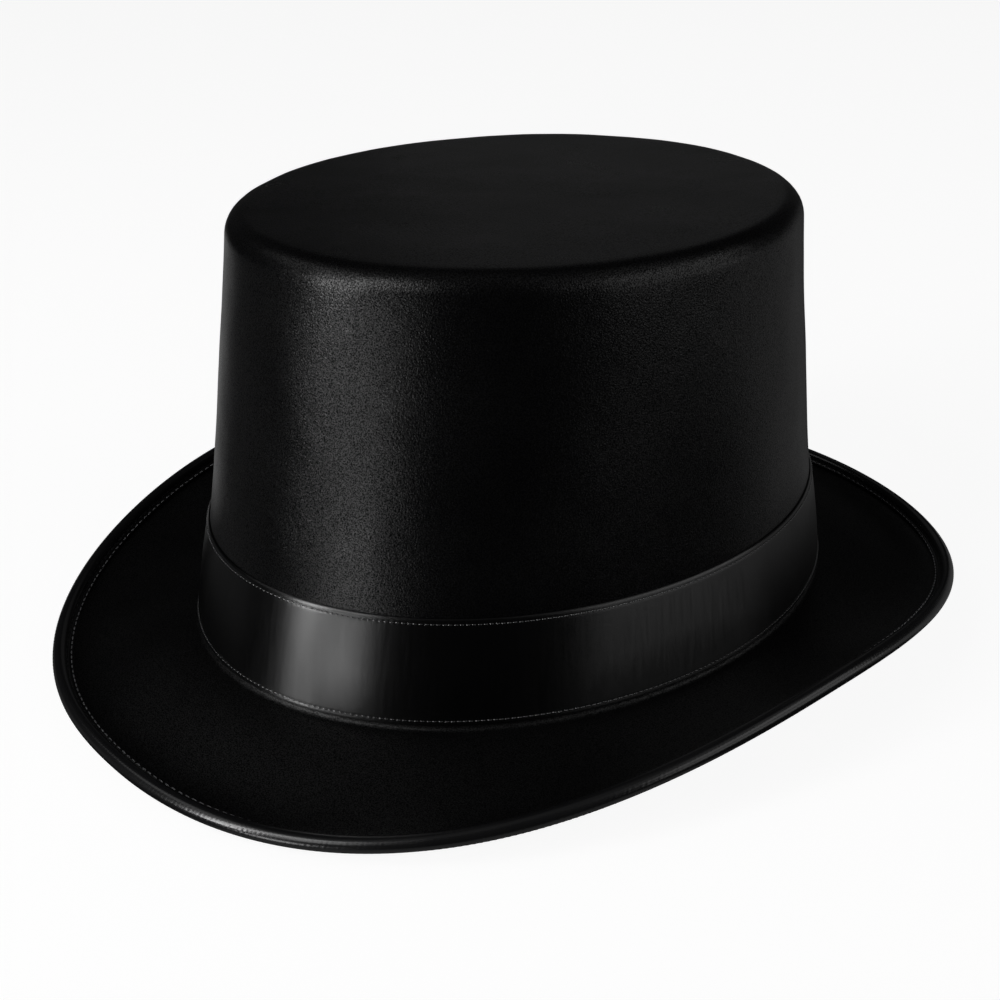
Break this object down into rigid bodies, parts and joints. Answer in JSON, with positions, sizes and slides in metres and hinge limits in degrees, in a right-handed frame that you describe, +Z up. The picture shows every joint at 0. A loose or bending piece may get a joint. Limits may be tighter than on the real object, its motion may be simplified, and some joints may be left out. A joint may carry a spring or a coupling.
{
  "type": "top hat",
  "caption": "Black felt top hat with a tapered oval crown, flat top, satin band with a flat side bow, curled and ribbon-bound brim, leather sweatband and satin lining.",
  "frame": {"origin": "on the surface that the brim stands on, under the middle of the crown", "axes": "+Z up, -Y to the front of the hat, +X to the wearer's left"},
  "size_m": [0.2484, 0.2966, 0.1308],
  "materials": {
    "felt": "black stiffened wool felt, fine pressed grain, slight sheen",
    "brim_felt": "black stiffened wool felt, matt",
    "satin": "black satin ribbon, strong soft gloss",
    "grosgrain": "black ribbed binding ribbon, semi-matt",
    "thread": "black twisted sewing thread",
    "wire": "steel wire in a wound cotton cover",
    "ferrule": "plain crimped tube",
    "leather": "dark leather, fine grain, soft gloss",
    "lining": "black lining satin",
    "reed": "cord piping covered in cloth"
  },
  "bodies": {
    "root": {"crown": "felt", "brim": "brim_felt", "brim_wire": "wire", "wire_ferrule": "ferrule", "brim_binding": "grosgrain", "binding_stitches": "thread", "hat_band": "satin", "band_upper_stitches": "thread", "band_lower_stitches": "thread", "band_bow_loops": "satin", "band_bow_knot": "satin", "sweatband": "leather", "sweatband_reed": "reed", "sweatband_stitches": "thread", "sweatband_join_stitches": "thread", "sweatband_bow_loops": "grosgrain", "sweatband_bow_knot": "grosgrain", "lining_side": "lining", "lining_tip": "lining", "lining_seam_stitches": "thread"}
  },
  "joints": []
}
